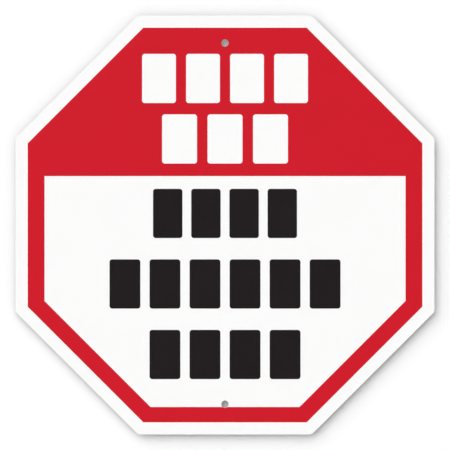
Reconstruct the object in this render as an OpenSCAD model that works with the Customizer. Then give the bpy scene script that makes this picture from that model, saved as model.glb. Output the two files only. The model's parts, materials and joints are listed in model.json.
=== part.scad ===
// Octagonal school zone sign: a punched aluminium blank, its white sheeting and two printed colours.
// The sign stands upright and faces -Y. The origin is halfway between the two bolt holes,
// on the back face of the blank.

/* [Blank] */
// Width of the blank across its flats
blank_across = 304.8; // [250:0.1:400]
// Thickness of the aluminium sheet
blank_t = 1.6; // [1:0.1:3]
// Radius of the eight outer corners
corner_r = 3.2; // [1:0.1:10]

/* [Bolt holes] */
// Diameter of both holes
hole_d = 5.3; // [4:0.1:9]
// Distance of the upper hole from the top edge
top_hole_inset = 20; // [14:0.1:26]
// Distance of the lower hole from the bottom edge
bottom_hole_inset = 22; // [14:0.1:26]

/* [White sheeting] */
// Thickness of the sheeting
sheeting_t = 0.2; // [0.1:0.05:0.4]

/* [Red print] */
// Thickness of both printed colours
ink_t = 0.1; // [0.05:0.05:0.2]
// Width of the white border outside the red
white_border = 8.9; // [4:0.1:12]
// Width of the red ring at the sides of the white panel
side_ring = 12.2; // [8:0.1:20]
// Width of the red ring along the two lower corners of the white panel
corner_ring = 11.6; // [8:0.1:20]
// Width of the red ring below the white panel
bottom_ring = 11.1; // [8:0.1:20]
// Height of the white panel's straight top above the middle of the blank
panel_top = 35.6; // [30:0.1:38]

/* [Rows of marks] */
// Height of every mark
mark_h = 35.8; // [25:0.1:38]
// Corner radius of every mark
mark_r = 2; // [0.5:0.1:5]
// Gap between marks, as a share of the mark's width
mark_gap = 0.3; // [0.15:0.01:0.6]
// Number of marks in each white row, from the top
white_counts = [4, 3]; // [2:1:5]
// Length of each white row
white_lengths = [120.7, 91.6]; // [60:0.1:130]
// Height of the first white row's middle above the middle of the blank
white_first = 106.6; // [104:0.1:108]
// Distance from one white row to the next
white_pitch = 44; // [40:0.1:46]
// Number of marks in each black row, from the top
black_counts = [4, 6, 4]; // [2:1:7]
// Length of each black row
black_lengths = [104.7, 168, 109.8]; // [60:0.1:180]
// Height of the first black row's middle above the middle of the blank
black_first = 8.4; // [5:0.1:14]
// Distance from one black row to the next
black_pitch = 51.3; // [42:0.1:52]

/* [Hidden] */

sides = 8;
half_turn_of_side = 180 / sides;
round_fn = 96;
mark_fn = 48;

// Hole heights above the middle of the blank, and where that middle lies from the origin
top_hole_z = blank_across / 2 - top_hole_inset;
bottom_hole_z = bottom_hole_inset - blank_across / 2;
middle_z = -(top_hole_z + bottom_hole_z) / 2;

// The red octagon, the panel's width straight across and between its slanted edges, and its lower edge
red_across = blank_across - 2 * white_border;
panel_across = red_across - 2 * side_ring;
slant_across = red_across - 2 * corner_ring;
panel_bottom = bottom_ring - red_across / 2;

// Where each layer starts, going forward from the back face
sheeting_y = blank_t;
print_y = blank_t + sheeting_t;

function corner_distance(across) = across / 2 / cos(half_turn_of_side);
function corner_angle(i) = half_turn_of_side + i * 360 / sides;
function polar(r, a) = [r * cos(a), r * sin(a)];

// Width of one mark in a row of n marks with gaps between them
function mark_w(length, n) = length / (n + (n - 1) * mark_gap);

// Sets a flat outline upright, facing -Y, as a layer that starts y in front of the back face
module layer(y, t) {
    translate([0, -y, middle_z])
        rotate([90, 0, 0])
            linear_extrude(t)
                children();
}

module octagon(across) {
    rotate(half_turn_of_side)
        circle(corner_distance(across), $fn = sides);
}

// An octagon with its corners rounded by true arcs
module rounded_octagon(across, r) {
    centre_r = corner_distance(across - 2 * r);
    polygon([
        for (i = [0 : sides - 1], turn = [-1, 1])
            polar(centre_r, corner_angle(i)) + polar(r, corner_angle(i) + turn * half_turn_of_side)
    ]);
    for (i = [0 : sides - 1])
        translate(polar(centre_r, corner_angle(i)))
            circle(r, $fn = round_fn);
}

module bolt_holes() {
    for (z = [bottom_hole_z, top_hole_z])
        translate([0, z])
            circle(d = hole_d, $fn = round_fn);
}

module blank_outline() {
    difference() {
        rounded_octagon(blank_across, corner_r);
        bolt_holes();
    }
}

// The white panel: an octagon cut off straight at the top, and reaching down to its lower edge
module panel_outline() {
    intersection() {
        rotate(2 * half_turn_of_side)
            square(slant_across, center = true);
        translate([-panel_across / 2, panel_bottom])
            square([panel_across, panel_top - panel_bottom]);
    }
}

// A plain upright mark with rounded corners
module mark(w) {
    square([w, mark_h - 2 * mark_r], center = true);
    square([w - 2 * mark_r, mark_h], center = true);
    for (x = [-1, 1], z = [-1, 1])
        translate([x * (w / 2 - mark_r), z * (mark_h / 2 - mark_r)])
            circle(mark_r, $fn = mark_fn);
}

module mark_row(length, n) {
    w = mark_w(length, n);
    step = w * (1 + mark_gap);
    for (i = [0 : n - 1])
        translate([(i - (n - 1) / 2) * step, 0])
            mark(w);
}

module mark_rows(lengths, counts, first, pitch) {
    for (i = [0 : len(counts) - 1])
        translate([0, first - i * pitch])
            mark_row(lengths[i], counts[i]);
}

module aluminium_blank() {
    color("silver")
        layer(0, blank_t)
            blank_outline();
}

module white_sheeting() {
    color("white")
        layer(sheeting_y, sheeting_t)
            blank_outline();
}

// The red is open over the panel, the white marks and both holes
module red_print() {
    color("crimson")
        layer(print_y, ink_t)
            difference() {
                octagon(red_across);
                panel_outline();
                mark_rows(white_lengths, white_counts, white_first, white_pitch);
                bolt_holes();
            }
}

module black_print() {
    color("black")
        layer(print_y, ink_t)
            mark_rows(black_lengths, black_counts, black_first, black_pitch);
}

aluminium_blank();
white_sheeting();
red_print();
black_print();
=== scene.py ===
"""Looks of the school zone sign: a punched aluminium blank, white sheeting and two printed colours.

The sign stands upright and faces -Y. Its origin is halfway between the two bolt holes, on the back
face of the blank. All lengths are in metres.
"""

import json
import logging
import math
from collections.abc import Callable
from dataclasses import dataclass
from enum import Enum

import bmesh
import bpy
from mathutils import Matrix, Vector


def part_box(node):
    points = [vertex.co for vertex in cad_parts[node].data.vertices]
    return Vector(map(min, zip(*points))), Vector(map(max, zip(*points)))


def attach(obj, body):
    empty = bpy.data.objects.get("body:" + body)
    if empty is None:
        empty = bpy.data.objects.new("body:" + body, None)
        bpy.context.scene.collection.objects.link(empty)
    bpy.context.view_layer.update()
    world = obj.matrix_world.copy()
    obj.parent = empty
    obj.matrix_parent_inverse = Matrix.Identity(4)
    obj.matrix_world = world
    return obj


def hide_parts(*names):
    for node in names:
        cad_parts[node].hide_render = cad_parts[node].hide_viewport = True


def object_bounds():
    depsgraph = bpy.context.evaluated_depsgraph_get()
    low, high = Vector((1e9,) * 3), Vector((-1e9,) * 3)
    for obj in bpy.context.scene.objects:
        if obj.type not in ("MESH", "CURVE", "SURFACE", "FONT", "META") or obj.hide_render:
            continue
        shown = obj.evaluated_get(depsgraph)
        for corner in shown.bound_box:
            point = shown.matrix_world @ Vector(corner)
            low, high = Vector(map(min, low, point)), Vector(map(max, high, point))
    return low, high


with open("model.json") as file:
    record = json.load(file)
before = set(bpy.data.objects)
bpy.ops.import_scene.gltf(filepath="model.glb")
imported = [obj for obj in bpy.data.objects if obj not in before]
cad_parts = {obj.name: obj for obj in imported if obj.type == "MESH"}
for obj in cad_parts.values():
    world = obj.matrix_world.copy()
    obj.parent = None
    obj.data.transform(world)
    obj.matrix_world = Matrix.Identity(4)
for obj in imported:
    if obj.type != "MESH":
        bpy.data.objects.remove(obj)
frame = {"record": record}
cad_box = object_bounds()

MM = 0.001
SIDES = 8
# Half of the angle by which the octagon's outline turns at each corner
HALF_CORNER = math.pi / SIDES
BODY = "root"
BLANK_NODE = "aluminium_blank"

# Faces that meet at less than this angle are shaded as one round wall
SMOOTH_BELOW = math.radians(12)
# Points closer than this are merged
MERGE_WITHIN = 0.001 * MM
# An edge's length, or a face's normal, lies along Y where more than this share of it does
ALONG_Y = 0.9
# At a sharp rim, the flat side's normal has more than the first share along Y, and the wall's less
# than the second
RIM_FLAT = 0.99
RIM_WALL = 0.1
# The middle of Blender's noise
NOISE_MIDDLE = 0.5
# Where the Mix node keeps its two colours and their mixture
MIX_FIRST = 6
MIX_SECOND = 7
MIX_RESULT = 2

WHITE = (1.0, 1.0, 1.0, 1.0)
Colour = tuple[float, float, float]
Grain = tuple[float, float, float]
Pair = tuple[float, float]

log = logging.getLogger("school_zone_sign")


class Facing(Enum):
    """The two flat sides of a layer, by the direction in which each looks along Y."""

    FRONT = -1
    BACK = 1


class Signal:
    """A value that varies over a surface. Arithmetic on it adds Math nodes."""

    def __init__(self, bench: "ShaderBench", socket: bpy.types.NodeSocket | None) -> None:
        """Keeps the output socket, if the node has one, and the bench that adds nodes to it."""
        self.bench = bench
        self.socket = socket

    def _math(self, operation: str, first: "Signal | float", second: "Signal | float") -> "Signal":
        """Adds one Math node that works on two values."""
        return self.bench.node("ShaderNodeMath", {"operation": operation}, {0: first, 1: second})

    def __add__(self, other: "Signal | float") -> "Signal":
        """Adds a value to this one."""
        return self._math("ADD", self, other)

    def __radd__(self, other: "Signal | float") -> "Signal":
        """Adds this one to a plain number."""
        return self._math("ADD", other, self)

    def __sub__(self, other: "Signal | float") -> "Signal":
        """Takes a value from this one."""
        return self._math("SUBTRACT", self, other)

    def __rsub__(self, other: "Signal | float") -> "Signal":
        """Takes this one from a plain number."""
        return self._math("SUBTRACT", other, self)

    def __mul__(self, other: "Signal | float") -> "Signal":
        """Multiplies this one by a value."""
        return self._math("MULTIPLY", self, other)

    def __rmul__(self, other: "Signal | float") -> "Signal":
        """Multiplies a plain number by this one."""
        return self._math("MULTIPLY", other, self)

    def under(self, limit: float) -> "Signal":
        """Says 1 where this one lies under a limit."""
        return self._math("LESS_THAN", self, limit)

    def at_most(self, limit: float) -> "Signal":
        """Holds this one down to a limit."""
        return self._math("MINIMUM", self, limit)


class ShaderBench:
    """Builds the node tree of one material or of the world."""

    def __init__(self, tree: bpy.types.NodeTree) -> None:
        """Starts from an empty tree."""
        tree.nodes.clear()
        self.tree = tree

    def node(self, kind: str, settings: dict, inputs: dict, output: int | str = 0) -> Signal:
        """Adds a node.

        Args:
            kind: The node's type.
            settings: Its properties, set first. The key "stops" holds a ramp's places and levels.
            inputs: Values, or signals to link, by the socket's name or number.
            output: The name or number of the output that is wanted.

        Returns:
            That output as a signal.
        """
        made = self.tree.nodes.new(kind)
        for name, value in settings.items():
            if name == "stops":
                self._set_stops(made, value)
            else:
                setattr(made, name, value)
        for key, value in inputs.items():
            if isinstance(value, Signal):
                self.tree.links.new(value.socket, made.inputs[key])
            else:
                made.inputs[key].default_value = value
        return Signal(self, made.outputs[output] if made.outputs else None)

    @staticmethod
    def _set_stops(ramp: bpy.types.Node, stops: list[Pair]) -> None:
        """Gives a colour ramp its two grey stops.

        Args:
            ramp: The new ramp.
            stops: The place and the level of each stop.
        """
        for element, (place, level) in zip(ramp.color_ramp.elements, stops):
            element.position = place
            element.color = (level, level, level, 1)

    def blend(self, share: Signal, first: Colour, second: Colour) -> Signal:
        """Mixes two colours, of which only the second shows where the share is 1."""
        inputs = {0: share, MIX_FIRST: (*first, 1), MIX_SECOND: (*second, 1)}
        return self.node("ShaderNodeMix", {"data_type": "RGBA"}, inputs, MIX_RESULT)

    def noise(self, grain: Grain, detail: float = 2, turn: float = 0) -> Signal:
        """Adds a noise pattern that stays put on the piece.

        Args:
            grain: The size of its features along X, Y and Z, in metres.
            detail: How many finer layers it holds.
            turn: How far the pattern is turned about Y, in radians.

        Returns:
            The noise, from 0 to 1 around 0.5.
        """
        place = self.node("ShaderNodeTexCoord", {}, {}, "Object")
        if turn:
            place = self.node("ShaderNodeMapping", {}, {"Vector": place, "Rotation": (0, turn, 0)})
        scale = tuple(1 / size for size in grain)
        scaled = self.node("ShaderNodeMapping", {}, {"Vector": place, "Scale": scale})
        return self.node("ShaderNodeTexNoise", {}, {"Vector": scaled, "Scale": 1, "Detail": detail})

    def ramp(self, value: Signal, span: Pair, levels: Pair = (0, 1)) -> Signal:
        """Passes a value through a ramp, which goes from one grey level to the other over a span."""
        return self.node("ShaderNodeValToRGB", {"stops": list(zip(span, levels))}, {"Fac": value})

    def bump(self, height: Signal, depth: float, strength: float, under: Signal | None = None) -> Signal:
        """Turns a height into a normal.

        Args:
            height: The relief, from 0 to 1.
            depth: How deep it is at 1, in metres.
            strength: How much of it shows.
            under: The normal of a larger relief that this one lies on.

        Returns:
            The normal.
        """
        inputs = {"Height": height, "Distance": depth, "Strength": strength}
        if under is not None:
            inputs["Normal"] = under
        return self.node("ShaderNodeBump", {}, inputs)

    def matt(self, level: float) -> Signal:
        """Adds an even matt grey."""
        return self.node("ShaderNodeBsdfDiffuse", {}, {"Color": (level, level, level, 1)})

    def ray(self, output: str) -> Signal:
        """Reads one thing that the Light Path node tells of a ray."""
        return self.node("ShaderNodeLightPath", {}, {}, output)

    def surface(self, output: str) -> Signal:
        """Reads one thing that the Geometry node tells of the place that a ray meets."""
        return self.node("ShaderNodeNewGeometry", {}, {}, output)

    def mix(self, share: Signal, first: Signal, second: Signal) -> Signal:
        """Mixes two shaders, of which only the second shows where the share is 1."""
        return self.node("ShaderNodeMixShader", {}, {0: share, 1: first, 2: second})

    def add(self, first: Signal, second: Signal) -> Signal:
        """Adds two shaders."""
        return self.node("ShaderNodeAddShader", {}, {0: first, 1: second})

    def end(self, shader: Signal, kind: str = "ShaderNodeOutputMaterial") -> None:
        """Ends the tree with its last shader."""
        self.node(kind, {}, {"Surface": shader})


def new_material(name: str) -> tuple[bpy.types.Material, ShaderBench]:
    """Makes an empty material.

    Args:
        name: The finish's name.

    Returns:
        The material, and the bench that fills its tree.
    """
    material = bpy.data.materials.new(name)
    material.use_nodes = True
    return material, ShaderBench(material.node_tree)


@dataclass(frozen=True)
class MillAluminium:
    """Bare rolled sheet: fine lines along the rolling direction, slightly wavy, with light scratches."""

    name: str = "mill_aluminium"
    light: Colour = (0.79, 0.795, 0.8)
    dark: Colour = (0.63, 0.635, 0.645)
    line_size: Grain = (1.1 * MM, 1.1 * MM, 120 * MM)
    fine_size: Grain = (0.3 * MM, 0.3 * MM, 30 * MM)
    patch_size: Grain = (70 * MM, 70 * MM, 110 * MM)
    wave_size: Grain = (130 * MM, 130 * MM, 210 * MM)
    scratch_size: Grain = (0.5 * MM, 0.5 * MM, 36 * MM)
    scratch_turns: tuple[float, ...] = (0.35, -0.9, 1.35)
    scratch_span: Pair = (0.69, 0.72)
    line_share: float = 0.45
    fine_share: float = 0.35
    patch_share: float = 0.2
    shade_span: Pair = (0.34, 0.66)
    roughness: float = 0.3
    dark_roughness: float = 0.1
    scratch_roughness: float = 0.12
    relief_share: float = 0.5
    depth: float = 0.02 * MM
    strength: float = 0.5
    wave_depth: float = 4 * MM

    def scratches(self, bench: ShaderBench) -> Signal:
        """Draws a few long thin scratches in several directions.

        Args:
            bench: The bench of the finish's material.

        Returns:
            1 on a scratch, and 0 beside it.
        """
        found = 0.0
        for turn in self.scratch_turns:
            streaks = bench.noise(self.scratch_size, turn=turn)
            found = bench.ramp(streaks, self.scratch_span) + found
        return found

    def material(self) -> bpy.types.Material:
        """Builds the finish.

        Returns:
            The material.
        """
        material, bench = new_material(self.name)
        lines = bench.noise(self.line_size)
        fine = bench.noise(self.fine_size)
        patches = bench.noise(self.patch_size, detail=3)
        waves = bench.noise(self.wave_size, detail=1)
        scratches = self.scratches(bench)
        shade = self.line_share * lines + self.fine_share * fine + self.patch_share * patches
        shade = bench.ramp(shade, self.shade_span)
        dull = self.dark_roughness * shade + self.scratch_roughness * scratches
        relief = self.relief_share * (lines + fine - scratches)
        bent = bench.bump(waves, self.wave_depth, 1)
        inputs = {
            "Base Color": bench.blend(shade, self.light, self.dark),
            "Metallic": 1,
            "Roughness": self.roughness + dull,
            "Normal": bench.bump(relief, self.depth, self.strength, bent),
        }
        bench.end(bench.node("ShaderNodeBsdfPrincipled", {}, inputs))
        return material


@dataclass(frozen=True)
class ShearedEdge:
    """The cut edge of the sheet: a smooth burnished band in front, and a dull broken band behind."""

    name: str = "sheared_edge"
    burnished: Colour = (0.74, 0.745, 0.75)
    broken: Colour = (0.42, 0.425, 0.43)
    band_edge: float = -0.95 * MM
    band_blur: float = 0.12 * MM
    band_wander: float = 0.6 * MM
    tear_size: Grain = (0.35 * MM, 1.2 * MM, 0.35 * MM)
    roughness: float = 0.28
    torn_roughness: float = 0.3
    depth: float = 0.04 * MM
    strength: float = 0.6

    def material(self) -> bpy.types.Material:
        """Builds the finish.

        Returns:
            The material.
        """
        material, bench = new_material(self.name)
        tears = bench.noise(self.tear_size, detail=3)
        place = bench.node("ShaderNodeTexCoord", {}, {}, "Object")
        across = bench.node("ShaderNodeSeparateXYZ", {}, {"Vector": place}, "Y")
        limits = {
            "Value": across + (tears - NOISE_MIDDLE) * self.band_wander,
            "From Min": self.band_edge - self.band_blur,
            "From Max": self.band_edge + self.band_blur,
        }
        torn = bench.node("ShaderNodeMapRange", {"clamp": True}, limits)
        inputs = {
            "Base Color": bench.blend(torn, self.burnished, self.broken),
            "Metallic": 1,
            "Roughness": self.roughness + self.torn_roughness * torn,
            "Normal": bench.bump(tears * torn, self.depth, self.strength),
        }
        bench.end(bench.node("ShaderNodeBsdfPrincipled", {}, inputs))
        return material


@dataclass(frozen=True)
class SmoothFace:
    """Sheeting or print: one even colour under a slightly uneven semi-gloss skin."""

    name: str
    colour: Colour
    mottle: Colour
    roughness: float
    specular: float
    peel_size: float = 1.6 * MM
    fine_size: float = 0.45 * MM
    patch_size: float = 30 * MM
    broad_share: float = 0.7
    fine_share: float = 0.3
    mottle_span: Pair = (0.38, 0.62)
    mottle_roughness: float = 0.06
    depth: float = 0.006 * MM
    strength: float = 0.5

    def material(self) -> bpy.types.Material:
        """Builds the finish.

        Returns:
            The material.
        """
        material, bench = new_material(self.name)
        peel = bench.noise((self.peel_size,) * 3)
        fine = bench.noise((self.fine_size,) * 3)
        patches = bench.noise((self.patch_size,) * 3, detail=3)
        uneven = bench.ramp(self.broad_share * patches + self.fine_share * fine, self.mottle_span)
        skin = self.broad_share * peel + self.fine_share * fine
        inputs = {
            "Base Color": bench.blend(uneven, self.colour, self.mottle),
            "Roughness": self.roughness + self.mottle_roughness * uneven,
            "Specular IOR Level": self.specular,
            "Normal": bench.bump(skin, self.depth, self.strength),
        }
        bench.end(bench.node("ShaderNodeBsdfPrincipled", {}, inputs))
        return material


WHITE_SHEETING = SmoothFace(
    name="white_sign_sheeting",
    colour=(0.962, 0.962, 0.958),
    mottle=(0.952, 0.952, 0.948),
    roughness=0.34,
    specular=0.25,
)
RED_PRINT = SmoothFace(
    name="red_print_colour",
    colour=(0.632, 0.0048, 0.0172),
    mottle=(0.612, 0.0046, 0.0164),
    roughness=0.4,
    specular=0.12,
)
BLACK_PRINT = SmoothFace(
    name="black_print_colour",
    colour=(0.006, 0.003, 0.0045),
    mottle=(0.008, 0.005, 0.0065),
    roughness=0.4,
    specular=0.12,
)


@dataclass(frozen=True)
class Slab:
    """The space of one flat layer: from its back plane to its front plane, about the sign's middle."""

    back: float
    front: float
    middle: float

    @classmethod
    def of(cls, node: str) -> "Slab":
        """Reads a layer's place from the frame.

        Args:
            node: The name of the layer's CAD node.

        Returns:
            The slab between its two faces, with the middle of the blank as its middle.
        """
        low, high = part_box(node)
        blank_low, blank_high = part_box(BLANK_NODE)
        return cls(back=high.y, front=low.y, middle=(blank_low.z + blank_high.z) / 2)

    @property
    def depth(self) -> float:
        """The layer's thickness."""
        return self.back - self.front

    def centre(self, x: float = 0, z: float = 0) -> Vector:
        """The point halfway through the layer, at x and z from the middle of the blank."""
        return Vector((x, (self.back + self.front) / 2, self.middle + z))

    def deeper(self, spare: float = 1 * MM) -> "Slab":
        """The same slab, reaching past both faces, for a cutter."""
        return Slab(self.back + spare, self.front - spare, self.middle)


class Workpiece:
    """One mesh on the bench, shaped with Blender's own operators."""

    def __init__(self, name: str) -> None:
        """Takes the primitive that was just added, and sets its place into its mesh.

        Args:
            name: The piece's name.
        """
        self.obj = bpy.context.object
        self.obj.name = name
        bpy.ops.object.transform_apply(location=True, rotation=True, scale=True)

    @classmethod
    def octagon(cls, name: str, slab: Slab, across: float) -> "Workpiece":
        """Starts an octagonal plate.

        Args:
            name: The piece's name.
            slab: The layer that it fills.
            across: Its width across the flats.

        Returns:
            The plate, with sharp corners.
        """
        bpy.ops.object.select_all(action="DESELECT")
        bpy.ops.mesh.primitive_cylinder_add(
            vertices=SIDES,
            radius=across / 2 / math.cos(HALF_CORNER),
            depth=slab.depth,
            location=slab.centre(),
            rotation=(math.pi / 2, HALF_CORNER, 0),
        )
        return cls(name)

    @classmethod
    def drill(cls, slab: Slab, radius: float, z: float, sides: int = 72) -> "Workpiece":
        """Starts a round cutter.

        Args:
            slab: The layer that it drills.
            radius: The hole's radius.
            z: The hole's height from the middle of the blank.
            sides: How many faces the hole's wall has.

        Returns:
            The cutter.
        """
        bpy.ops.object.select_all(action="DESELECT")
        bpy.ops.mesh.primitive_cylinder_add(
            vertices=sides,
            radius=radius,
            depth=slab.depth,
            location=slab.centre(z=z),
            rotation=(math.pi / 2, 0, 0),
        )
        return cls("drill")

    @classmethod
    def block(cls, name: str, slab: Slab, size: Pair, x: float = 0, z: float = 0) -> "Workpiece":
        """Starts an upright block.

        Args:
            name: The piece's name.
            slab: The layer that it fills.
            size: Its width along X and its height along Z.
            x: Its centre along X.
            z: Its centre's height from the middle of the blank.

        Returns:
            The block, with sharp corners.
        """
        width, height = size
        scale = (width, slab.depth, height)
        bpy.ops.object.select_all(action="DESELECT")
        bpy.ops.mesh.primitive_cube_add(size=1, location=slab.centre(x, z), scale=scale)
        return cls(name)

    def alone(self) -> None:
        """Selects this piece and nothing else."""
        bpy.ops.object.select_all(action="DESELECT")
        self.obj.select_set(True)
        bpy.context.view_layer.objects.active = self.obj

    def bevel(self, wanted: Callable[[bmesh.types.BMEdge], bool], offset: float, segments: int) -> None:
        """Bevels some edges in edit mode.

        Args:
            wanted: Says of an edge whether it is bevelled.
            offset: How far the bevel reaches along each face.
            segments: How many faces it has.
        """
        self.alone()
        bpy.ops.object.mode_set(mode="EDIT")
        bpy.ops.mesh.select_mode(type="EDGE")
        bpy.ops.mesh.select_all(action="DESELECT")
        mesh = bmesh.from_edit_mesh(self.obj.data)
        for edge in mesh.edges:
            edge.select_set(wanted(edge))
        bmesh.update_edit_mesh(self.obj.data)
        bpy.ops.mesh.bevel(offset_type="OFFSET", offset=offset, segments=segments, affect="EDGES")
        bpy.ops.object.mode_set(mode="OBJECT")

    def round_corners(self, radius: float, turn: float, segments: int = 8) -> None:
        """Rounds every corner that runs along Y, where the outline turns by so many radians."""
        self.bevel(runs_along_y, radius * math.tan(turn / 2), segments)

    def soften_rim(self, side: Facing, width: float, segments: int = 3) -> None:
        """Rounds the rim between one flat side and the walls, holes included."""
        self.bevel(lambda edge: is_rim(edge, side), width, segments)

    def cut(self, cutter: "Workpiece") -> None:
        """Cuts a shape out of this piece.

        Args:
            cutter: The shape, which is removed afterwards.
        """
        self.alone()
        modifier = self.obj.modifiers.new("cut", "BOOLEAN")
        modifier.operation = "DIFFERENCE"
        modifier.solver = "EXACT"
        modifier.object = cutter.obj
        bpy.ops.object.modifier_apply(modifier=modifier.name)
        bpy.data.objects.remove(cutter.obj)

    def clean(self) -> None:
        """Merges what the cuts left double, and smooths the round walls."""
        self.alone()
        bpy.ops.object.mode_set(mode="EDIT")
        bpy.ops.mesh.select_all(action="SELECT")
        bpy.ops.mesh.remove_doubles(threshold=MERGE_WITHIN)
        bpy.ops.mesh.normals_make_consistent(inside=False)
        bpy.ops.object.mode_set(mode="OBJECT")
        bpy.ops.object.shade_smooth_by_angle(angle=SMOOTH_BELOW)

    def absorb(self, others: list["Workpiece"]) -> None:
        """Joins other pieces into this one.

        Args:
            others: The pieces, which end as part of this one.
        """
        self.alone()
        for other in others:
            other.obj.select_set(True)
        bpy.ops.object.join()

    def copy_along(self, step: float) -> "Workpiece":
        """Copies the piece with its own mesh, and sets the copy's new place into that mesh.

        Args:
            step: How far to the right the copy lies.

        Returns:
            The copy.
        """
        self.alone()
        bpy.ops.object.duplicate(linked=False)
        bpy.ops.transform.translate(value=(step, 0, 0))
        return Workpiece(self.obj.name)

    def dress(self, finish: bpy.types.Material, walls: bpy.types.Material | None = None) -> None:
        """Gives the piece its finish.

        Args:
            finish: The finish of the flat sides, and of the walls where they have none of their own.
            walls: The finish of the walls.
        """
        self.obj.data.materials.clear()
        self.obj.data.materials.append(finish)
        if walls is None:
            return
        self.obj.data.materials.append(walls)
        for face in self.obj.data.polygons:
            face.material_index = int(abs(face.normal.y) < ALONG_Y)

    def stand_for(self, node: str, slot: str) -> None:
        """Sets the piece on the sign's body in place of its CAD node.

        Args:
            node: The node that it replaces.
            slot: The name of the record's material slot. Not used.
        """
        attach(self.obj, BODY)
        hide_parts(node)


def runs_along_y(edge: bmesh.types.BMEdge) -> bool:
    """Says whether an edge runs along Y, from the front face to the back face."""
    along = edge.verts[0].co - edge.verts[1].co
    return abs(along.y) > ALONG_Y * along.length


def is_rim(edge: bmesh.types.BMEdge, side: Facing) -> bool:
    """Says whether an edge lies between one flat side of a layer and its walls."""
    facing = sorted(face.normal.y * side.value for face in edge.link_faces)
    return len(facing) == 2 and abs(facing[0]) < RIM_WALL and facing[1] > RIM_FLAT


@dataclass(frozen=True)
class BoltHoles:
    """The two bolt holes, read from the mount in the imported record."""

    radius: float
    heights: Pair

    @classmethod
    def from_record(cls) -> "BoltHoles":
        """Reads the holes' radius and spacing.

        Returns:
            The holes, with their heights from the middle of the blank.
        """
        mount = next(m for m in frame["record"]["mounts"] if m["name"] == "post_bolts")
        middle = Slab.of(BLANK_NODE).middle
        reach = mount["dims"]["spacing_y_mm"] * MM / 2
        return cls(mount["dims"]["hole_r_mm"] * MM, (reach - middle, -reach - middle))

    def drill(self, piece: Workpiece, slab: Slab) -> None:
        """Drills both holes through a layer."""
        for height in self.heights:
            piece.cut(Workpiece.drill(slab.deeper(), self.radius, height))


@dataclass(frozen=True)
class MarkRow:
    """A row of plain upright marks, centred on the sign, at z from the middle of the blank."""

    count: int
    length: float
    z: float

    def mark_width(self, gap_share: float) -> float:
        """The width of one mark, where each gap is a share of it."""
        return self.length / (self.count + (self.count - 1) * gap_share)

    def places(self, gap_share: float) -> list[float]:
        """The centre of each mark along X, from left to right."""
        step = self.mark_width(gap_share) * (1 + gap_share)
        return [(i - (self.count - 1) / 2) * step for i in range(self.count)]


@dataclass(frozen=True)
class Marks:
    """The size that all marks share, and how a row of them is modelled."""

    height: float = 35.8 * MM
    corner_radius: float = 2 * MM
    corner_faces: int = 10
    gap_share: float = 0.3

    def lay(self, name: str, slab: Slab, row: MarkRow) -> list[Workpiece]:
        """Models the first mark of a row and copies it along.

        Args:
            name: The marks' name.
            slab: The layer that they fill.
            row: How many they are, and where.

        Returns:
            One piece for each mark.
        """
        places = row.places(self.gap_share)
        size = (row.mark_width(self.gap_share), self.height)
        first = Workpiece.block(name, slab, size, places[0], row.z)
        first.round_corners(self.corner_radius, math.pi / 2, self.corner_faces)
        return [first] + [first.copy_along(x - places[0]) for x in places[1:]]


@dataclass
class AluminiumBlank:
    """The punched sheet: an octagon with rounded corners, two holes and a back edge broken by hand."""

    holes: BoltHoles
    corner_radius: float = 3.2 * MM
    broken_edge: float = 0.2 * MM
    node: str = BLANK_NODE

    def plate(self, name: str, slab: Slab) -> Workpiece:
        """Models the outline with its holes, for any layer that has the blank's shape.

        Args:
            name: The piece's name.
            slab: The layer that it fills.

        Returns:
            The plate, with sharp rims.
        """
        low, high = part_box(self.node)
        piece = Workpiece.octagon(name, slab, high.x - low.x)
        piece.round_corners(self.corner_radius, 2 * HALF_CORNER)
        self.holes.drill(piece, slab)
        return piece

    def build(self) -> Workpiece:
        """Models the sheet, and dresses its back and its cut edges.

        Returns:
            The finished piece.
        """
        piece = self.plate("blank_plate", Slab.of(self.node))
        piece.soften_rim(Facing.BACK, self.broken_edge)
        piece.clean()
        piece.dress(MillAluminium().material(), ShearedEdge().material())
        piece.stand_for(self.node, "aluminium_sheet")
        return piece


@dataclass
class WhiteSheeting:
    """The white sign sheeting, trimmed flush with the blank, with a slightly rounded front edge."""

    blank: AluminiumBlank
    front_edge: float = 0.08 * MM
    node: str = "white_sheeting"

    def build(self) -> Workpiece:
        """Models the sheeting on the blank's outline and dresses it.

        Returns:
            The finished piece.
        """
        piece = self.blank.plate("face_sheeting", Slab.of(self.node))
        piece.soften_rim(Facing.FRONT, self.front_edge)
        piece.clean()
        piece.dress(WHITE_SHEETING.material())
        piece.stand_for(self.node, "white_film")
        return piece


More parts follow.
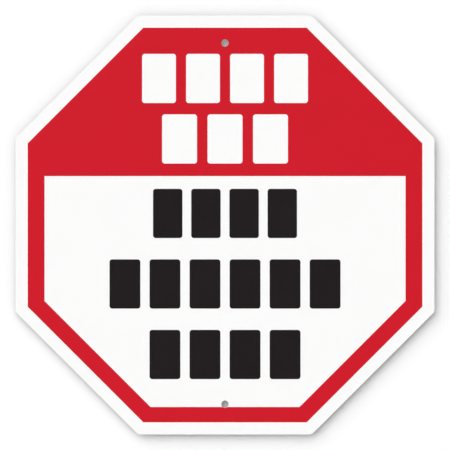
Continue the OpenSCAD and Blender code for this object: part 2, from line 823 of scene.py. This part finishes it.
@dataclass
class RedPrint:
    """The red field, open over the white panel, the white marks and the holes."""

    holes: BoltHoles
    marks: Marks
    side_ring: float = 12.2 * MM
    corner_ring: float = 11.6 * MM
    bottom_ring: float = 11.1 * MM
    panel_top: float = 35.6 * MM
    ink_edge: float = 0.03 * MM
    rows: tuple[MarkRow, ...] = (
        MarkRow(4, 120.7 * MM, 106.6 * MM),
        MarkRow(3, 91.6 * MM, 62.6 * MM),
    )
    node: str = "red_print"

    def panel(self, slab: Slab, red_across: float) -> Workpiece:
        """Models the cutter for the white panel: a block with its two lower corners cut off.

        Args:
            slab: The layer that it cuts.
            red_across: The red field's width across its flats.

        Returns:
            The cutter.
        """
        across = red_across - 2 * self.side_ring
        slant_across = red_across - 2 * self.corner_ring
        bottom = self.bottom_ring - red_across / 2
        middle = (self.panel_top + bottom) / 2
        cutter = Workpiece.block("panel", slab, (across, self.panel_top - bottom), z=middle)
        lower_half = slab.middle + middle
        # A slanted side runs where x and -z add up to a constant, so this is how far in it starts
        cut_back = across / 2 - bottom - slant_across / math.sqrt(2)
        cutter.bevel(lambda edge: runs_along_y(edge) and edge.verts[0].co.z < lower_half, cut_back, 1)
        return cutter

    def build(self) -> Workpiece:
        """Models the field with its openings and dresses it.

        Returns:
            The finished piece.
        """
        slab = Slab.of(self.node)
        low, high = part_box(self.node)
        across = high.x - low.x
        piece = Workpiece.octagon("red_field", slab, across)
        piece.cut(self.panel(slab.deeper(), across))
        for row in self.rows:
            for window in self.marks.lay("window", slab.deeper(), row):
                piece.cut(window)
        self.holes.drill(piece, slab)
        piece.soften_rim(Facing.FRONT, self.ink_edge, segments=2)
        piece.clean()
        piece.dress(RED_PRINT.material())
        piece.stand_for(self.node, "red_ink")
        return piece


@dataclass
class BlackPrint:
    """The three rows of black marks on the white panel."""

    marks: Marks
    ink_edge: float = 0.03 * MM
    rows: tuple[MarkRow, ...] = (
        MarkRow(4, 104.7 * MM, 8.4 * MM),
        MarkRow(6, 168 * MM, -42.9 * MM),
        MarkRow(4, 109.8 * MM, -94.2 * MM),
    )
    node: str = "black_print"

    def build(self) -> Workpiece:
        """Models the marks, joins them into one print and dresses it.

        Returns:
            The finished piece.
        """
        slab = Slab.of(self.node)
        made = [mark for row in self.rows for mark in self.marks.lay("black_marks", slab, row)]
        piece = made[0]
        piece.absorb(made[1:])
        piece.soften_rim(Facing.FRONT, self.ink_edge, segments=2)
        piece.clean()
        piece.dress(BLACK_PRINT.material())
        piece.stand_for(self.node, "black_ink")
        return piece


@dataclass(frozen=True)
class SoftSun:
    """A broad soft light in front of the sign.

    It comes from so far to the right and so far up for each metre out from the face. Its level is
    how strongly it lights the face, where a white face at 1 is white.
    """

    name: str
    right: float
    up: float
    spread: float
    level: float

    def hang(self) -> None:
        """Adds the light to the scene."""
        data = bpy.data.lights.new(self.name, "SUN")
        data.angle = self.spread
        lamp = bpy.data.objects.new(self.name, data)
        bpy.context.scene.collection.objects.link(lamp)
        origin = Vector((self.right, Facing.FRONT.value, self.up))
        lamp.location = origin
        lamp.rotation_mode = "QUATERNION"
        lamp.rotation_quaternion = (-origin).to_track_quat("-Z", "Y")
        data.energy = self.level * math.pi * origin.length


@dataclass
class Studio:
    """The camera, the wall close behind the sign, the floor below it, and plain soft light."""

    holes: BoltHoles
    # The camera, and how wide the photo and the sign in it are
    lens: float = 600.0
    sensor: float = 36.0
    frame_pixels: float = 450.0
    sign_pixels: float = 419.05
    # Where the wall and the floor lie, and how large they are
    wall_gap: float = 4 * MM
    floor_drop: float = 150 * MM
    reach: float = 30.0
    # How white they are, and how much they glow to the camera alone
    wall_white: float = 1.0
    wall_glow: float = 0.02
    floor_white: float = 0.8
    floor_glow: float = 0.42
    # How far light runs on in the gap behind the sign, and the wall's grey to that light
    gap_reach: float = 60 * MM
    gap_grey: float = 0.3
    # Painted light: the wall's extra glow close behind a hole, which lifts the shade seen through the
    # holes, and how far from the hole's middle it reaches
    painted_hole_light: float = 0.11
    painted_hole_light_reach: float = 9 * MM
    # The light from all sides, and what metal mirrors from low to high
    ambient: float = 0.42
    room_span: Pair = (0.35, 0.85)
    room_levels: Pair = (1.0, 0.5)
    key: SoftSun = SoftSun("key", -0.58, 0.69, math.radians(78), 0.52)

    def camera(self) -> None:
        """Sets the camera straight in front, where the sign fills as much of the frame as in the photo.

        It stands far off behind a long lens, so that the walls of the holes hardly show.
        """
        low, high = cad_box
        width = (high.x - low.x) * self.frame_pixels / self.sign_pixels
        data = bpy.data.cameras.new("camera")
        data.lens = self.lens
        data.sensor_width = self.sensor
        camera = bpy.data.objects.new("camera", data)
        bpy.context.scene.collection.objects.link(camera)
        distance = width * self.lens / self.sensor
        camera.location = (0, low.y - distance, (low.z + high.z) / 2)
        camera.rotation_euler = (math.pi / 2, 0, 0)
        bpy.context.scene.camera = camera

    def behind_holes(self, bench: ShaderBench) -> Signal:
        """Finds what shows of the wall through the holes, where the wall gets painted light.

        Args:
            bench: The bench of the wall's material.

        Returns:
            1 close behind either hole, and 0 elsewhere.
        """
        low, high = cad_box
        place = bench.surface("Position")
        found = 0.0
        for height in self.holes.heights:
            centre = (0, high.y + self.wall_gap, (low.z + high.z) / 2 + height)
            ends = {0: place, 1: centre}
            away = bench.node("ShaderNodeVectorMath", {"operation": "DISTANCE"}, ends, "Value")
            found = found + away.under(self.painted_hole_light_reach)
        return found

    def wall_material(self) -> bpy.types.Material:
        """Makes the white wall, which shows the sign's shadow and leaves the sign's back in the light.

        Returns:
            The material: white to the camera, with a painted patch of light behind each hole, dark to
                light
            that bounces about in the narrow gap behind the sign, and clear to all other light and from
            behind.
        """
        material, bench = new_material("wall_white")
        # The wall's even glow, lifted close behind each hole: painted light where the wall shows through
        # the holes
        level = bench.blend(self.behind_holes(bench), (self.wall_glow,) * 3, (self.painted_hole_light,) * 3)
        glow = bench.node("ShaderNodeEmission", {}, {"Color": level})
        white = bench.add(bench.matt(self.wall_white), glow)
        seen = bench.ray("Is Camera Ray")
        surface = bench.mix(seen, bench.matt(self.gap_grey), white)
        in_gap = bench.ray("Diffuse Depth") * bench.ray("Ray Length").under(self.gap_reach)
        solid = (1 - bench.surface("Backfacing")) * (seen + in_gap).at_most(1)
        clear = bench.node("ShaderNodeBsdfTransparent", {}, {})
        bench.end(bench.mix(solid, clear, surface))
        return material

    def floor_material(self) -> bpy.types.Material:
        """Makes the pale floor.

        Returns:
            The material: matt, about as white as the wall to the camera, and clear from below.
        """
        material, bench = new_material("floor_white")
        matt = bench.matt(self.floor_white)
        glow = bench.node("ShaderNodeEmission", {}, {"Strength": self.floor_glow})
        surface = bench.mix(bench.ray("Is Camera Ray"), matt, bench.add(matt, glow))
        clear = bench.node("ShaderNodeBsdfTransparent", {}, {})
        bench.end(bench.mix(bench.surface("Backfacing"), surface, clear))
        return material

    def sheet(self, name: str, place: Vector, tilt: float, material: bpy.types.Material) -> None:
        """Adds one large flat sheet of the stage.

        Args:
            name: The sheet's name.
            place: Its middle.
            tilt: How far it is turned up about X, in radians.
            material: Its finish.
        """
        bpy.ops.object.select_all(action="DESELECT")
        bpy.ops.mesh.primitive_plane_add(size=self.reach, location=place, rotation=(tilt, 0, 0))
        stage = bpy.context.object
        stage.name = name
        stage.data.materials.append(material)

    def backdrop(self) -> None:
        """Adds the wall, which stands on the floor, and the floor."""
        low, high = cad_box
        floor = low.z - self.floor_drop
        wall_place = Vector((0, high.y + self.wall_gap, floor + self.reach / 2))
        self.sheet("wall", wall_place, math.pi / 2, self.wall_material())
        self.sheet("floor", Vector((0, 0, floor)), 0, self.floor_material())

    def room(self, bench: ShaderBench) -> Signal:
        """Makes the room that metal mirrors.

        Args:
            bench: The bench of the world.

        Returns:
            How bright the room is each way: white low down, and darker overhead.
        """
        way = bench.node("ShaderNodeTexCoord", {}, {}, "Generated")
        up = bench.node("ShaderNodeSeparateXYZ", {}, {"Vector": way}, "Z")
        # From -1 and 1, straight down and straight up, to the ramp's 0 and 1
        return bench.ramp(0.5 * up + 0.5, self.room_span, self.room_levels)

    def world(self) -> None:
        """Fills the world with white to the camera, a room to mirrors, and a plain level as light."""
        world = bpy.data.worlds.new("studio")
        bpy.context.scene.world = world
        world.use_nodes = True
        bench = ShaderBench(world.node_tree)
        seen = bench.ray("Is Camera Ray") + bench.ray("Is Transmission Ray")
        plain = bench.node("ShaderNodeBackground", {}, {"Color": WHITE, "Strength": self.ambient})
        white = bench.node("ShaderNodeBackground", {}, {"Color": WHITE, "Strength": 1})
        room = bench.node("ShaderNodeBackground", {}, {"Color": self.room(bench), "Strength": 1})
        light = bench.mix(bench.ray("Is Glossy Ray"), bench.mix(seen, plain, white), room)
        bench.end(light, "ShaderNodeOutputWorld")

    def build(self) -> None:
        """Sets up everything that the sign is seen in."""
        self.camera()
        self.backdrop()
        self.world()
        self.key.hang()
        bpy.context.scene.view_settings.view_transform = "Standard"


def main() -> None:
    """Builds the studio and the sign's four layers, and reports each piece."""
    logging.basicConfig(level=logging.INFO, format="%(message)s")
    holes = BoltHoles.from_record()
    marks = Marks()
    blank = AluminiumBlank(holes)
    Studio(holes).build()
    for layer in (blank, WhiteSheeting(blank), RedPrint(holes, marks), BlackPrint(marks)):
        piece = layer.build()
        log.info("%s stands for %s: %d faces", piece.obj.name, layer.node, len(piece.obj.data.polygons))


if __name__ == "__main__":
    main()
